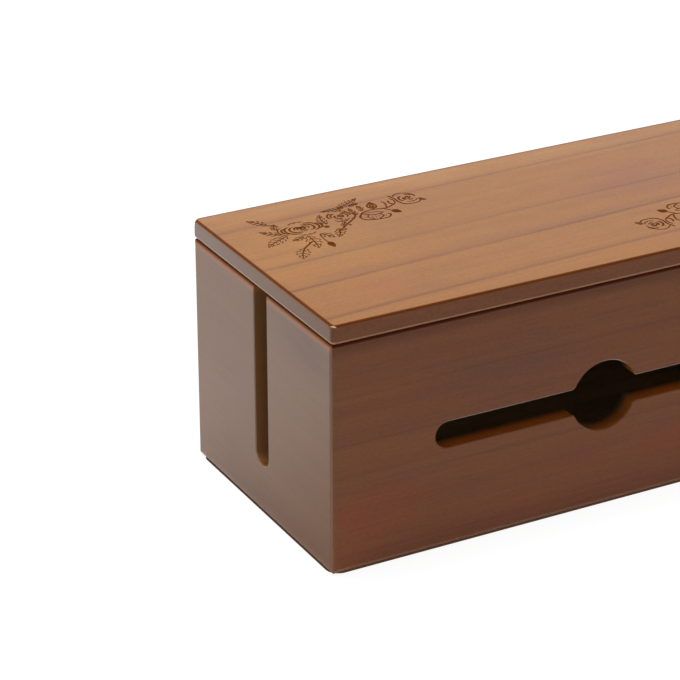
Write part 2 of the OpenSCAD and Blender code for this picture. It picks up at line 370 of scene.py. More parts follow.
def growth_lines(tree, look, on, ring, marks, colour):
    """Darker growth lines, crisp on one side with a soft halo on the other, and fine hairs."""
    low, high, stops = vein_stops(look)
    span = node(tree, "MapRange", {0: ring, "From Min": low, "From Max": high})
    lines = node(tree, "ValToRGB", {0: span}, stops)
    breaks = node(tree, "MapRange", {
        0: marks["breaks"], **FADES["breaks"], "To Min": VEIN_LEAST}, **SMOOTH)
    crossing = node(tree, "Math", {0: marks["hair"], 1: 0.5}, operation="SUBTRACT")
    aside = node(tree, "Math", {0: crossing}, operation="ABSOLUTE")
    hair = node(tree, "MapRange", {
        0: aside, **FADES["hair"], "To Min": look["hair"], "To Max": 0.0}, **SMOOTH)
    all_lines = node(tree, "Math", {0: lines, 1: hair}, operation="MAXIMUM")
    dark = node(tree, "Math", {0: all_lines, 1: breaks}, operation="MULTIPLY")
    long_grain = node(tree, "MapRange", {0: on["endwise"], **FADES["long_grain"]}, **SMOOTH)
    dark_long = node(tree, "Math", {0: dark, 1: long_grain}, operation="MULTIPLY")
    tint = node(tree, "Mix", {
        "Factor": dark_long, "A": linear(look["halo"]), "B": linear(look["vein"])}, **RGBA)
    return node(tree, "Mix", {"Factor": dark_long, "A": colour, "B": tint}, **RGBA)


def sawn_edges(tree, look, on, colour):
    """Sawn edges take the stain in their own way and end grain in another, with painted shade that
    deepens further in. Rounded edges that slant get a painted pale highlight."""
    skin = node(tree, "MapRange", {0: on["deep"], **FADES["skin"]}, **SMOOTH)
    sideways = node(tree, "MapRange", {0: on["facewise"], **FADES["sawn"]}, **SMOOTH)
    sawn = node(tree, "Math", {0: skin, 1: sideways}, operation="MULTIPLY")
    cut = node(tree, "Mix", {
        "Factor": on["endwise"], "A": linear(look["cut"]), "B": linear(look["cut_end"])}, **RGBA)
    # Painted shade: the cut grows darker further in.
    shade_further_in = node(tree, "MapRange", {
        0: on["deep"], **FADES["shade_further_in"], "To Max": look["painted_cut_shade_amount"]}, **SMOOTH)
    shaded_cut = node(tree, "Mix", {"Factor": shade_further_in, "A": cut, "B": linear(look["painted_cut_shade"])}, **RGBA)
    colour = node(tree, "Mix", {"Factor": sawn, "A": colour, "B": shaded_cut}, **RGBA)
    # Painted highlight on rounded edges that slant.
    turned = node(tree, "MapRange", {
        0: on["facewise"], **FADES["turned"], "To Max": look["wear_and_highlight"]}, **SMOOTH)
    slanting = node(tree, "MapRange", {0: on["facewise"], **FADES["slanting"]}, **SMOOTH)
    wear_and_highlight = node(tree, "Math", {0: turned, 1: slanting}, operation="MULTIPLY")
    return node(tree, "Mix", {"Factor": wear_and_highlight, "A": colour, "B": linear(look["edge_highlight_tint"])}, **RGBA)


def lower_edges(tree, look, on, colour):
    """Rounded edges that face down get painted light from the floor, most of all across the grain.
    On sharp edges of end grain the lacquer is rubbed off."""
    falling = node(tree, "MapRange", {0: on["upward"], **FADES["falling"]}, **SMOOTH)
    slope = node(tree, "MapRange", {
        0: on["upward"], **FADES["slope"], "To Min": 1.0, "To Max": 0.0}, **SMOOTH)
    amount = node(tree, "MapRange", {
        0: on["endwise"], **FADES["toward_end"], "To Min": look["under"], "To Max": look["under_end"]})
    shallow = node(tree, "MapRange", {
        0: on["deep"], "From Min": look["under_depth"],
        "From Max": PALE_CORE * look["under_depth"]}, **SMOOTH)
    facing_down = node(tree, "Math", {0: falling, 1: slope}, operation="MULTIPLY")
    rounded = node(tree, "Math", {0: facing_down, 1: shallow}, operation="MULTIPLY")
    # Painted light from the floor on rounded edges that face down.
    painted_light_below = node(tree, "Math", {0: rounded, 1: amount}, operation="MULTIPLY")
    colour = node(tree, "Mix", {"Factor": painted_light_below, "A": colour, "B": linear(look["under_tint"])}, **RGBA)
    crosswise = node(tree, "MapRange", {
        0: on["endwise"], **FADES["crosswise"], "To Max": -look["rubbed"]}, **SMOOTH)
    lacquer = node(tree, "Math", {0: rounded, 1: crosswise, 2: 1.0}, operation="MULTIPLY_ADD")
    return colour, lacquer


def lines_of_stain_light_and_shade(tree, look, on, colour, lacquer):
    """Lines along the board, each mixed towards its tint: painted shade in the creases where boards
    meet, painted light along some edges, and stain. The narrow ones hold little lacquer.
    """
    # Each line mixes in its tint; some are stain, some painted light, some painted shade.
    for axis, place, reach, tint, amount in look["stain_light_and_shade"]:
        off = node(tree, "Math", {0: on["ways"][axis], 1: place}, operation="SUBTRACT")
        far = node(tree, "Math", {0: off}, operation="ABSOLUTE")
        near = node(tree, "MapRange", {
            0: far, "From Min": LINE_CORE * reach, "From Max": reach, "To Min": amount,
            "To Max": 0.0}, **SMOOTH)
        colour = node(tree, "Mix", {"Factor": near, "A": colour, "B": linear(tint)}, **RGBA)
        if reach < DRY_REACH:
            open_part = node(tree, "Math", {0: 1.0, 1: near}, operation="SUBTRACT")
            lacquer = node(tree, "Math", {0: open_part, 1: lacquer}, operation="MULTIPLY")
    return colour, lacquer


def edge_line(tree, look, on, size, colour, lacquer):
    """A dark narrow line round the upper rounded edge, with little lacquer on it, and a painted glint
    at the tips of its corners."""
    half = (size[0] / 2, size[1] / 2, 0)
    middle = (half[0], half[1] - look["edge_shift"], 0)
    from_middle = node(tree, "VectorMath", {0: on["board"], 1: middle}, operation="SUBTRACT")
    away = node(tree, "VectorMath", {0: from_middle}, operation="ABSOLUTE")
    inset = node(tree, "VectorMath", {0: half, 1: away}, operation="SUBTRACT")
    inset_x, inset_y, _ = node(tree, "SeparateXYZ", {0: inset}).outputs
    margin = node(tree, "Math", {0: inset_x, 1: inset_y}, operation="MINIMUM")
    close = node(tree, "MapRange", {0: margin, **FADES["edge_line"]}, **SMOOTH)
    steep = node(tree, "Math", {
        0: on["endwise"], 1: END_LEAN, 2: on["upward"]}, operation="MULTIPLY_ADD")
    rising = node(tree, "MapRange", {0: steep, **FADES["rising"], "To Max": look["edge"]}, **SMOOTH)
    upper = node(tree, "Math", {0: close, 1: rising}, operation="MULTIPLY")
    colour = node(tree, "Mix", {"Factor": upper, "A": colour, "B": linear(look["edge_tint"])}, **RGBA)
    # Painted glint at the tips of the corners.
    both_ways = node(tree, "Math", {0: inset_x, 1: inset_y}, operation="ADD")
    tip = node(tree, "MapRange", {0: both_ways, **FADES["tip"]}, **SMOOTH)
    corner_glint = node(tree, "Math", {0: tip, 1: rising}, operation="MULTIPLY")
    colour = node(tree, "Mix", {
        "Factor": corner_glint, "A": colour, "B": linear(look["corner_glint_tint"])}, **RGBA)
    lacquer = node(tree, "Math", {0: upper, 1: -1.0, 2: lacquer}, operation="MULTIPLY_ADD")
    return colour, lacquer


def bare_inside(tree, look, on, colour):
    """The inner face is left bare."""
    inmost = node(tree, "MapRange", {0: on["deep"], **FADES["inmost"]}, **SMOOTH)
    square = node(tree, "MapRange", {0: on["facewise"], **FADES["square"]}, **SMOOTH)
    bare = node(tree, "Math", {0: inmost, 1: square}, operation="MULTIPLY")
    return node(tree, "Mix", {"Factor": bare, "A": colour, "B": linear(look["inner"])}, **RGBA)


def shading(tree, look, marks, pores):
    """Streaks, lanes, flecks and open pores only lighten or darken."""
    shade = 1.0
    for mark in ("streak", "lane", "fleck"):
        swing = node(tree, "Math", {
            0: marks[mark], 1: look[mark], 2: -look[mark] / 2}, operation="MULTIPLY_ADD")
        shade = node(tree, "Math", {0: swing, 1: shade}, operation="ADD")
    return node(tree, "Math", {0: pores, 1: -look["pore"], 2: shade}, operation="MULTIPLY_ADD")


def wood(name, look, grain, corner, size=(0, 0)):
    """Solid timber. grain names the axes along, across and through the board, from its corner."""
    material, tree = new_material(name)
    on = board_measures(tree, grain, corner)
    ring, marks = growth(tree, look, on)
    colour = bands_and_clouds(tree, look, marks)
    colour = stains_and_shade(tree, look, on, marks, colour)
    if look["veins"]:
        colour = growth_lines(tree, look, on, ring, marks, colour)
    if look["cut"]:
        colour = sawn_edges(tree, look, on, colour)
    colour, lacquer = lower_edges(tree, look, on, colour)
    colour, lacquer = lines_of_stain_light_and_shade(tree, look, on, colour, lacquer)
    if look["edge"]:
        colour, lacquer = edge_line(tree, look, on, size, colour, lacquer)
    if look["inner"]:
        colour = bare_inside(tree, look, on, colour)

    pores = node(tree, "MapRange", {0: marks["pore"], **FADES["pore"]}, **SMOOTH)
    shade = shading(tree, look, marks, pores)
    shaded = node(tree, "VectorMath", {0: colour, "Scale": shade}, operation="SCALE")
    ridges = node(tree, "Math", {0: marks["streak"], 1: RIDGE_SHARE}, operation="MULTIPLY")
    relief = node(tree, "Math", {0: ridges, 1: pores}, operation="SUBTRACT")
    bump = node(tree, "Bump", {"Height": relief, "Distance": look["relief"] * MM})
    rough = node(tree, "MapRange", {
        0: marks["streak"], **FADES["rough"], "To Min": look["rough"] - ROUGH_SWING,
        "To Max": look["rough"] + ROUGH_SWING}, **SMOOTH)
    coat = node(tree, "Math", {0: lacquer, 1: look["coat"]}, operation="MULTIPLY")
    shader = node(tree, "BsdfPrincipled", {
        "Base Color": shaded, "Roughness": rough, "Normal": bump, "IOR": WOOD_IOR,
        "Specular IOR Level": look["sheen"], "Coat Weight": coat, "Coat Roughness": look["coat_rough"],
        "Coat IOR": WOOD_IOR})
    node(tree, "OutputMaterial", {"Surface": shader})
    return material


def scorched_wood():
    """Wood burnt back by engraving: dark brown with orange-brown in it, dry and ridged."""
    material, tree = new_material("scorched_engraving")
    spot = node(tree, "TexCoord").outputs["Object"]
    scale = [1 / (size * MM) for size in CHAR_SIZE]
    grain = node(tree, "Mapping", {"Vector": spot, "Scale": scale})
    char = node(tree, "TexNoise", {"Vector": grain, "Scale": 1.0, "Detail": 3.0})
    colour = node(tree, "ValToRGB", {0: char}, [(0.35, linear("4C2208")), (0.65, linear("7A4014"))])
    bump = node(tree, "Bump", {"Height": char, "Distance": 0.05 * MM})
    shader = node(tree, "BsdfPrincipled", {
        "Base Color": colour, "Roughness": 0.75, "Normal": bump, "IOR": 1.45,
        "Specular IOR Level": 0.12})
    node(tree, "OutputMaterial", {"Surface": shader})
    return material


def zinc_plated_steel():
    """Pressed steel with bright zinc plating: a pale metal with a faint yellow cast in soft clouds."""
    material, tree = new_material("zinc_plated_steel")
    spot = node(tree, "TexCoord").outputs["Object"]
    clouds = node(tree, "TexNoise", {"Vector": spot, "Scale": 1 / (ZINC_CLOUDS * MM), "Detail": 3.0})
    colour = node(tree, "ValToRGB", {0: clouds}, [(0.35, linear("B9B19A")), (0.65, linear("D3D1C8"))])
    rough = node(tree, "MapRange", {0: clouds, "To Min": 0.28, "To Max": 0.42})
    grit = node(tree, "TexNoise", {"Vector": spot, "Scale": 1 / (ZINC_GRIT * MM), "Detail": 2.0})
    bump = node(tree, "Bump", {"Height": grit, "Distance": 0.01 * MM})
    shader = node(tree, "BsdfPrincipled", {
        "Base Color": colour, "Metallic": 1.0, "Roughness": rough, "Normal": bump})
    node(tree, "OutputMaterial", {"Surface": shader})
    return material


def moulded_rubber():
    """Black rubber from a spark-eroded mould: matt, a little dusty, with a grain of about 0.3 mm."""
    material, tree = new_material("moulded_rubber")
    spot = node(tree, "TexCoord").outputs["Object"]
    grain = node(tree, "TexVoronoi", {"Vector": spot, "Scale": 1 / (RUBBER_GRAIN * MM)})
    dust = node(tree, "TexNoise", {"Vector": spot, "Scale": 1 / (RUBBER_DUST * MM), "Detail": 3.0})
    colour = node(tree, "ValToRGB", {0: dust}, [(0.4, linear("171513")), (0.7, linear("2B2825"))])
    bump = node(tree, "Bump", {"Height": grain, "Distance": 0.04 * MM})
    shader = node(tree, "BsdfPrincipled", {
        "Base Color": colour, "Roughness": 0.85, "Normal": bump, "IOR": 1.52,
        "Specular IOR Level": 0.35})
    node(tree, "OutputMaterial", {"Surface": shader})
    return material


# Lengths are mm from the board's left end, heights from its front or lower edge.
# Growth lines (veins): height at the left end, darkness, and reach of the halo.
# Stains and painted shade: place along and across, reach along and across, tint and amount.
# Lines of stain, painted light and painted shade: axis (0 along, 1 across, 2 through), place, reach,
# tint and amount.

# Pale paulownia wiped with a brown stain and sprayed with satin lacquer: warm and close-grained,
# with a few darker growth lines and a soft sheen that lies over the grain.
STAINED = dict(
    stains_and_shade=(), veins=(), stain_light_and_shade=(),
    askew=0.0, fan=0.0, tilt=0.35, waves=((150, 60, 4.0), (24, 14, 0.9)),
    lane=0.10, fleck=0.20, pore=0.15, relief=0.02,
    # painted shade deep in the cuts, a painted highlight on slanting rounded edges, the bare inside
    painted_cut_shade="4A4630", painted_cut_shade_amount=0.0, wear_and_highlight=0.0, edge_highlight_tint="B8A08A", inner="D0C2A2", edge=0.0,
    # painted light from the floor on rounded edges that face down
    under=0.4, under_end=0.8, under_tint="D2A67C", under_depth=25.0, rubbed=0.0,
    rough=0.45, sheen=0.2, coat=1.0, coat_rough=0.22)
# The lid: golden brown in soft patches, with a dark line round its top and a painted glint at its
# corners.
LID_LOOK = dict(
    STAINED, light="A46A34", deep="9E6632", clouds=0.4, cloud_tint="A46F37",
    streak=0.36, lane=0.18, fleck=0.45, hair=0.16, askew=0.058, fan=0.0002,
    vein="4A2008", halo="78483A", vein_wide=1.3,
    veins=((9.25, 0.6, 2.5), (44.5, 0.65, 7.0), (72.0, 0.45, 4.0), (121.5, 0.5, 3.0)),
    stains_and_shade=((150, 140, 400, 20, "B4804C", 0.7), (30, 80, 60, 60, "B47C34", 0.45),
            (43, 30, 22, 18, "A8603A", 0.35), (60, 22, 16, 8, "8A5644", 0.4),
            (38, 50, 30, 5, "8A5850", 0.25), (150, 54, 60, 6, "8A5850", 0.25),
            (215, 88, 55, 34, "965A42", 0.6), (200, 8, 120, 40, "A86A28", 0.5)),
    cut="A05A2C", cut_end="8E5A30", edge=0.9, edge_tint="602800", edge_shift=0.2, corner_glint_tint="FFDCC0",
    # painted light on its lower rounded edge, and painted shade along the crease at its underside
    under=0.5, under_end=1.0, under_tint="DEB084", stain_light_and_shade=((2, -9.7, 0.8, "6A2A06", 0.95),))
# The front and the back: redder, with fine growth lines, rusty stains low down, and painted light along
# the bottom.
FRONT_LOOK = dict(
    STAINED, light="A8602C", deep="A25A2A", clouds=0.15, cloud_tint="8A5848",
    streak=0.36, lane=0.18, fleck=0.4, hair=0.12, tilt=-0.35, waves=((150, 60, 3.0), (24, 14, 0.8)),
    vein="4E3028", halo="6A4038", vein_wide=0.6,
    veins=((8.5, 0.45, 3.0), (45.8, 0.3, 3.0), (67.3, 0.3, 2.0), (73.5, 0.22, 2.0),
           (92.3, 0.2, 2.0), (97.8, 0.22, 2.0)),
    stains_and_shade=((22, 30, 50, 18, "B84E26", 0.6), (135, 30, 40, 16, "B04E2A", 0.35),
            (185, 27, 40, 14, "B84E26", 0.6), (95, 88, 55, 24, "86564A", 0.4)),
    # painted shade darkens the cuts further in
    cut="E88428", cut_end="B87430", painted_cut_shade_amount=1.0,
    # near-white painted highlight on the down-facing edges close to the face
    under=1.0, under_end=0.0, under_tint="FFF0DC", under_depth=1.5, rubbed=0.9,
    # an olive band by the left corner, painted light low down and along the bottom, painted shade below
    # the lid
    stain_light_and_shade=((0, 0, 4.0, "8E683A", 0.3), (1, 0, 34.0, "C0602A", 0.4), (1, 0, 4.5, "C8743C", 1.0),
              (1, 119.3, 8.0, "7C3A04", 0.65), (1, 119.3, 1.6, "7A2E06", 0.9)))
# The ends: smooth, with hardly any figure, in soft brown clouds.
END_LOOK = dict(
    STAINED, light="A06A3C", deep="9C683A", clouds=0.1, cloud_tint="8A5A50",
    streak=0.02, lane=0.0, fleck=0.12, tilt=0.0, relief=0.0,
    # the first is painted shade below the lid at the near top; the last two darken it towards the
    # bottom
    stains_and_shade=((20, 116, 70, 34, "80502E", 0.8), (100, 70, 40, 70, "905A34", 0.4),
            (95, 10, 60, 26, "8A4E28", 0.5), (40, 4, 60, 14, "904A28", 0.4)),
    # painted highlight on the slanting rounded edges
    cut="7A4A24", cut_end="A07248", wear_and_highlight=0.4,
    # painted shade below the lid, painted light along the bottom and just below the rim
    stain_light_and_shade=((1, 119.3, 1.5, "6A2A08", 0.9), (1, 0, 6.0, "B0805A", 0.45),
              (1, 118.0, 3.5, "C87838", 0.6)))

# Planed pine with no finish: pale, dry and matt, with broad soft growth lines.
PLANED = dict(
    STAINED, light="CFA878", deep="BE9160", clouds=0.1, cloud_tint="B88A5C", cut="", inner="",
    streak=0.35, relief=0.05, under=0.0, under_end=0.0, rough=0.7, sheen=0.3, coat=0.0)
# The same pine wiped once with thin sealer: greyer, with a dull sheen.
SEALED = dict(PLANED, light="BCA07A", deep="AA8E6A", coat=0.25, coat_rough=0.5, rough=0.6)


# ---------------- the spray on the lid

# Places are mm from the lid's middle, and inside a flower or a leaf shares of its size.
# A cut is given its width in mm, and how thin it starts and ends as shares of that.
BURN_SPREAD = 1.1                # how much wider a burnt line comes out than it is drawn
SWELL = 4                        # a cut swells by its full width over a quarter of its length
PETAL_STEPS = 8
PETAL_TURN_IN = 0.15             # how far the ends of a petal's rim turn in
TICK_SIDES = 0.8                 # cosine beyond which a petal has no ticks, at the rose's sides
BERRY_SIDES = 10
LEAF_BELLY = 0.85                # below 1 it puts a leaf's widest place nearer to its foot
TOOTH_TIP = 1.08                 # tips of a leaf's teeth and the notches between them, as shares
TOOTH_NOTCH = 0.74               # of its outline


def between(start, end, t):
    return (start[0] + (end[0] - start[0]) * t, start[1] + (end[1] - start[1]) * t)


def on_oval(centre, wide, high, angle):
    return (centre[0] + wide * math.cos(angle), centre[1] + high * math.sin(angle))


def beside(base, tip, bend=0.0, unit=1.0):
    """Gives the function for places along the axis from base to tip, and a distance to its side."""
    length = math.hypot(tip[0] - base[0], tip[1] - base[1])
    ux, uy = (tip[0] - base[0]) / length, (tip[1] - base[1]) / length

    def at(t, side):
        away = side * unit + bend * length * math.sin(math.pi * t)
        x, y = between(base, tip, t)
        return (x - uy * away, y + ux * away)

    return at


def curve(points, steps=6):
    """Smooth line through the points (a Catmull-Rom spline)."""
    ends = [points[0]] + list(points) + [points[-1]]
    line = []
    for a, b, c, d in zip(ends, ends[1:], ends[2:], ends[3:]):
        for i in range(steps):
            t = i / steps
            line.append(tuple(
                0.5 * (2 * q + (r - p) * t + (2 * p - 5 * q + 4 * r - s) * t ** 2
                       + (3 * q - p - 3 * r + s) * t ** 3)
                for p, q, r, s in zip(a, b, c, d)))
    return line + [points[-1]]


def stroke(line, width, thin_start=0.3, thin_end=0.3):
    """Outline of a cut that swells to its width between thinner ends."""
    left, right = [], []
    last = len(line) - 1
    for i, (x, y) in enumerate(line):
        x0, y0 = line[max(i - 1, 0)]
        x1, y1 = line[min(i + 1, last)]
        size = math.hypot(x1 - x0, y1 - y0) or 1.0
        t = i / last
        half = 0.5 * BURN_SPREAD * width * min(1.0, thin_start + SWELL * t, thin_end + SWELL * (1 - t))
        nx, ny = -(y1 - y0) / size * half, (x1 - x0) / size * half
        left.append((x + nx, y + ny))
        right.append((x - nx, y - ny))
    return left + right[::-1]


def petal(centre, wide, high, start, stop, width):
    """Rim of a rose petal: part of an oval whose two ends turn in."""
    line = []
    for i in range(PETAL_STEPS + 1):
        t = i / PETAL_STEPS
        share = 1 - PETAL_TURN_IN * (2 * t - 1) ** 4
        line.append(on_oval(centre, wide * share, high * share, start + (stop - start) * t))
    return stroke(line, width)


def rose(centre, wide, high, rings):
    """Open rose: a rolled heart in rings of petals (share, count, spread, turn), bold at its sides."""
    heart = [on_oval(centre, wide * (0.02 + 0.016 * i), high * (0.02 + 0.018 * i), 1.0 + 0.62 * i)
             for i in range(15)]
    cuts = [stroke(heart, 1.3, 0.9, 0.6)]
    for share, count, spread, turn in rings:
        for i in range(count):
            middle = turn + i * 2 * math.pi / count
            width = 0.5 + 0.55 * math.cos(middle) ** 2
            cuts.append(petal(centre, wide * share, high * share,
                              middle - spread / 2, middle + spread / 2, width))
            for side in (-0.3, 0.0, 0.3):
                angle = middle + side * spread
                if abs(math.cos(angle)) > TICK_SIDES:
                    continue
                inner = on_oval(centre, wide * (share - 0.13), high * (share - 0.13), angle)
                outer = on_oval(centre, wide * (share - 0.05), high * (share - 0.05), angle + 0.12)
                cuts.append(stroke([inner, outer], 0.5, 0.9, 0.5))
    return cuts


def leaf(base, tip, width, bend=0.0, teeth=4):
    """Serrated leaf with a midrib and slanting side veins."""
    at = beside(base, tip, bend)

    def outline(t, sign):
        return sign * 0.5 * width * math.sin(math.pi * t ** LEAF_BELLY)

    cuts = [stroke([at(i / 6, 0) for i in range(7)], 0.6, 0.9, 0.3)]
    for sign in (-1, 1):
        foot = at(0, 0)
        for i in range(teeth):
            t = (i + 0.8) / (teeth + 0.4)
            cuts.append(stroke([foot, at(t, outline(t, sign) * TOOTH_TIP)], 0.8, 0.3, 0.9))
            foot = at(t + 0.03, outline(t, sign) * TOOTH_NOTCH)
        cuts.append(stroke([foot, at(1, 0)], 0.75, 0.4, 0.5))
        for i in range(teeth - 1):
            t = (i + 1) / (teeth + 0.5)
            side_vein = [at(t, outline(t, sign) * 0.1), at(t + 0.12, outline(t, sign) * 0.66)]
            cuts.append(stroke(side_vein, 0.62, 0.9, 0.4))
    return cuts


def bud(base, tip, width):
    """Closed bud: wrapped petals with a dark fold between them, and three sepals at its foot."""
    at = beside(base, tip)
    cuts = []
    for share, start, width_here in ((0.5, 0.0, 0.85), (0.17, 0.2, 1.0)):
        for sign in (-1, 1):
            line = []
            for i in range(8):
                t = start + (1 - start) * i / 7
                line.append(at(t, sign * share * width * math.sin(math.pi * t ** 0.75)))
            cuts.append(stroke(line, width_here, 0.7, 0.7))
    for side in (-0.5, 0.0, 0.5):
        cuts.append(stroke([at(0.0, 0), at(0.18, side * width * 0.6), at(0.42, side * width * 0.9)],
                           0.7, 1.0, 0.3))
    return cuts


def half_open_rose(foot, tip, width):
    """Rose seen from the side: a cup of petals on its foot, with the rolled heart at its lip."""
    at = beside(foot, tip, unit=width)
    cuts = []
    for sign in (-1, 1):
        reach = 0.8 + 0.15 * sign
        outer = [at(0, 0), at(0.1, sign * 0.36), at(0.5, sign * 0.5), at(reach, sign * 0.42)]
        inner = [at(0.08, sign * 0.07), at(0.4, sign * 0.24), at(0.86, sign * 0.18)]
        cuts.append(stroke(curve(outer), 0.85, 0.8, 0.4))
        cuts.append(stroke(curve(inner), 0.65, 0.5, 0.5))
    lip = [at(0.97, -0.36), at(0.8, -0.2), at(0.68, 0), at(0.8, 0.2), at(0.97, 0.36)]
    cuts.append(stroke(curve(lip), 0.7))
    cuts.append(stroke(curve([at(1.02, -0.34), at(1.1, 0), at(1.02, 0.34)]), 0.6))
    cuts.append(stroke([at(0.87 + 0.012 * i * math.sin(0.7 * i), 0.011 * i * math.cos(0.7 * i))
                        for i in range(12)], 1.1, 0.8, 0.6))
    for side in (-0.38, -0.3, -0.12, 0.0, 0.12, 0.3, 0.38):
        cuts.append(stroke([at(0.24 + abs(side) / 4, side * 0.8), at(0.56, side)], 0.55, 0.5, 0.5))
    return cuts


def stem(points, width=0.8):
    return [stroke(curve(points), width, 0.8, 0.6)]


def berry(centre, radius):
    turn = 2 * math.pi / BERRY_SIDES
    return [[on_oval(centre, radius, radius, i * turn) for i in range(BERRY_SIDES)]]


def spray():
    """Roses with their leaves at the left, and a stem with buds that runs to the right."""
    cuts = []
    # the large rose
    cuts += rose((-108.6, 35.6), 10.6, 8.2,
                 ((0.38, 3, 1.5, 2.6), (0.62, 2, 2.3, 0.2), (0.86, 2, 2.0, 3.3), (1.02, 4, 1.0, 1.57)))
    cuts += [petal((-108.6, 35.6), 12.6, 10.4, 2.5, 3.7, 0.7)]
    # leaves of the left end
    cuts += leaf((-119.4, 30.2), (-133.6, 22.4), 6.8, -0.05, 5)
    cuts += leaf((-120.4, 33.0), (-129.2, 41.2), 4.4, 0.06)
    cuts += leaf((-122.2, 46.6), (-128.8, 56.6), 4.8, -0.06)
    cuts += stem([(-117.6, 43.4), (-119.8, 45.6), (-122.4, 46.8)])
    cuts += leaf((-121.2, 39.6), (-118.4, 46.6), 3.4, 0.08, 3)
    # below the large rose
    cuts += leaf((-110.4, 26.0), (-112.4, 10.4), 7.0, 0.04)
    cuts += leaf((-112.6, 26.4), (-119.8, 24.0), 3.8, 0.08, 3)
    cuts += stem([(-111.6, 19.0), (-115.6, 15.8), (-119.8, 12.6)], 0.9)
    cuts += leaf((-118.6, 13.2), (-125.2, 2.2), 6.8, -0.05)
    cuts += stem([(-104.6, 24.6), (-105.2, 18.0), (-104.8, 13.0)], 0.6)
    cuts += bud((-104.8, 14.6), (-105.0, 8.2), 2.8)
    cuts += leaf((-104.0, 25.6), (-99.4, 18.4), 5.0, 0.05, 3)
    # between the roses
    cuts += leaf((-92.6, 27.2), (-97.6, 17.6), 5.0, 0.06)
    cuts += stem([(-94.6, 23.4), (-90.0, 27.0), (-85.0, 31.0), (-79.2, 35.4)], 0.9)
    cuts += leaf((-89.6, 28.2), (-86.0, 33.0), 3.2, 0.0, 2)
    cuts += berry((-96.8, 31.8), 1.5) + berry((-90.2, 24.8), 0.9) + berry((-85.6, 28.4), 0.8)
    cuts += leaf((-95.4, 34.6), (-93.4, 46.6), 4.6, 0.08)
    # the second rose, with leaves round its top
    cuts += rose((-84.4, 40.2), 7.0, 6.8,
                 ((0.5, 2, 2.2, 3.5), (0.76, 3, 1.3, 2.6), (1.0, 4, 1.2, 2.7)))
    cuts += leaf((-81.4, 50.2), (-66.8, 57.2), 5.0, -0.04, 6)
    cuts += leaf((-78.0, 49.6), (-91.4, 49.8), 4.2, 0.06, 6)
    cuts += leaf((-76.4, 37.8), (-76.6, 47.4), 3.0, 0.05, 3)
    cuts += leaf((-72.4, 41.2), (-71.4, 48.4), 3.2, -0.08, 3)
    cuts += leaf((-75.4, 49.4), (-68.8, 51.2), 2.4, 0.0, 2)
    # the long stem to the right
    cuts += stem([(-77.0, 33.6), (-73.4, 38.6), (-67.4, 40.2), (-59.5, 39.0), (-55.5, 40.6),
                  (-52.4, 42.6)], 0.9)
    cuts += bud((-65.8, 41.0), (-63.6, 49.2), 4.8)
    cuts += half_open_rose((-70.0, 28.2), (-68.4, 36.6), 15.8)
    cuts += stem([(-61.4, 39.2), (-60.0, 37.0), (-58.2, 34.6)])
    cuts += bud((-58.6, 35.0), (-55.4, 31.0), 3.2)
    cuts += stem([(-59.0, 39.6), (-57.3, 44.6), (-58.0, 47.4)])
    # the large bud at the right end, opening, with its sepals and a small leaf beyond it
    cuts += rose((-43.8, 45.2), 4.8, 4.8, ((0.5, 3, 1.7, 1.0), (0.98, 3, 1.7, 2.9)))
    cuts += stem([(-51.6, 52.0), (-50.2, 47.4), (-50.4, 43.2), (-48.8, 39.4), (-45.4, 38.0)], 0.9)
    cuts += stem([(-45.4, 38.0), (-41.2, 38.4), (-38.8, 40.6)], 0.7)
    cuts += stem([(-50.0, 50.2), (-46.4, 52.6), (-42.0, 51.4), (-38.8, 47.4)], 0.7)
    cuts += leaf((-39.4, 42.6), (-36.6, 38.8), 2.6, 0.0, 2)
    for x, y in ((-49.0, 45.8), (-48.4, 42.6), (-46.4, 40.0), (-47.8, 48.8), (-43.4, 39.8)):
        cuts += [stroke([(x, y), (x + 0.9, y + 1.9)], 0.65)]
    cuts += stem([(-53.8, 41.0), (-55.2, 43.8), (-54.4, 46.8)], 0.9)
    cuts += stem([(-52.4, 42.6), (-51.6, 46.0), (-52.6, 49.0)], 0.7)
    return cuts


# ---------------- the engraved lid

# In mm, unless they say otherwise.
LID_TOP_ROUND = 1.2
LID_LOW_ROUND = 1.7
LID_CORNER_ROUND = 2.5
CORNER_WEAR = 1.2                # how much rounder the corners get towards the top
WEAR_REACH = 5.0                 # how far down from the top that begins
WEAR_STEPS = 5
ARC_STEPS = 6                    # facets in each rounded edge and corner
GUARD = 0.3                      # width of the narrow flat band beside each rounding
ENGRAVING_DEPTH = 0.2
CUT_INSIDE = 1                   # the triangulation's mode that keeps only what is inside the rim
WELD_REACH = 1e-5                # points nearer than this become one
SHARP_ANGLE = 30                 # degrees between faces from which on an edge looks sharp
SPRAY_CENTRE = (0.6, 1.5)        # the second spray is the first turned half round this point


def anticlockwise(outline):
    area = sum(x0 * y1 - x1 * y0 for (x0, y0), (x1, y1) in zip(outline, outline[1:] + outline[:1]))
    return outline if area > 0 else outline[::-1]


def lid_outline(half_length, half_width, inset, corner_round):
    """Rounded rectangle, drawn in by inset mm."""
    radius = corner_round - inset
    rim = []
    for quarter, (sx, sy) in enumerate(((1, 1), (-1, 1), (-1, -1), (1, -1))):
        centre = (sx * (half_length - corner_round), sy * (half_width - corner_round))
        for i in range(ARC_STEPS + 1):
            angle = math.pi / 2 * (quarter + i / ARC_STEPS)
            rim.append(on_oval(centre, radius, radius, angle))
    return rim


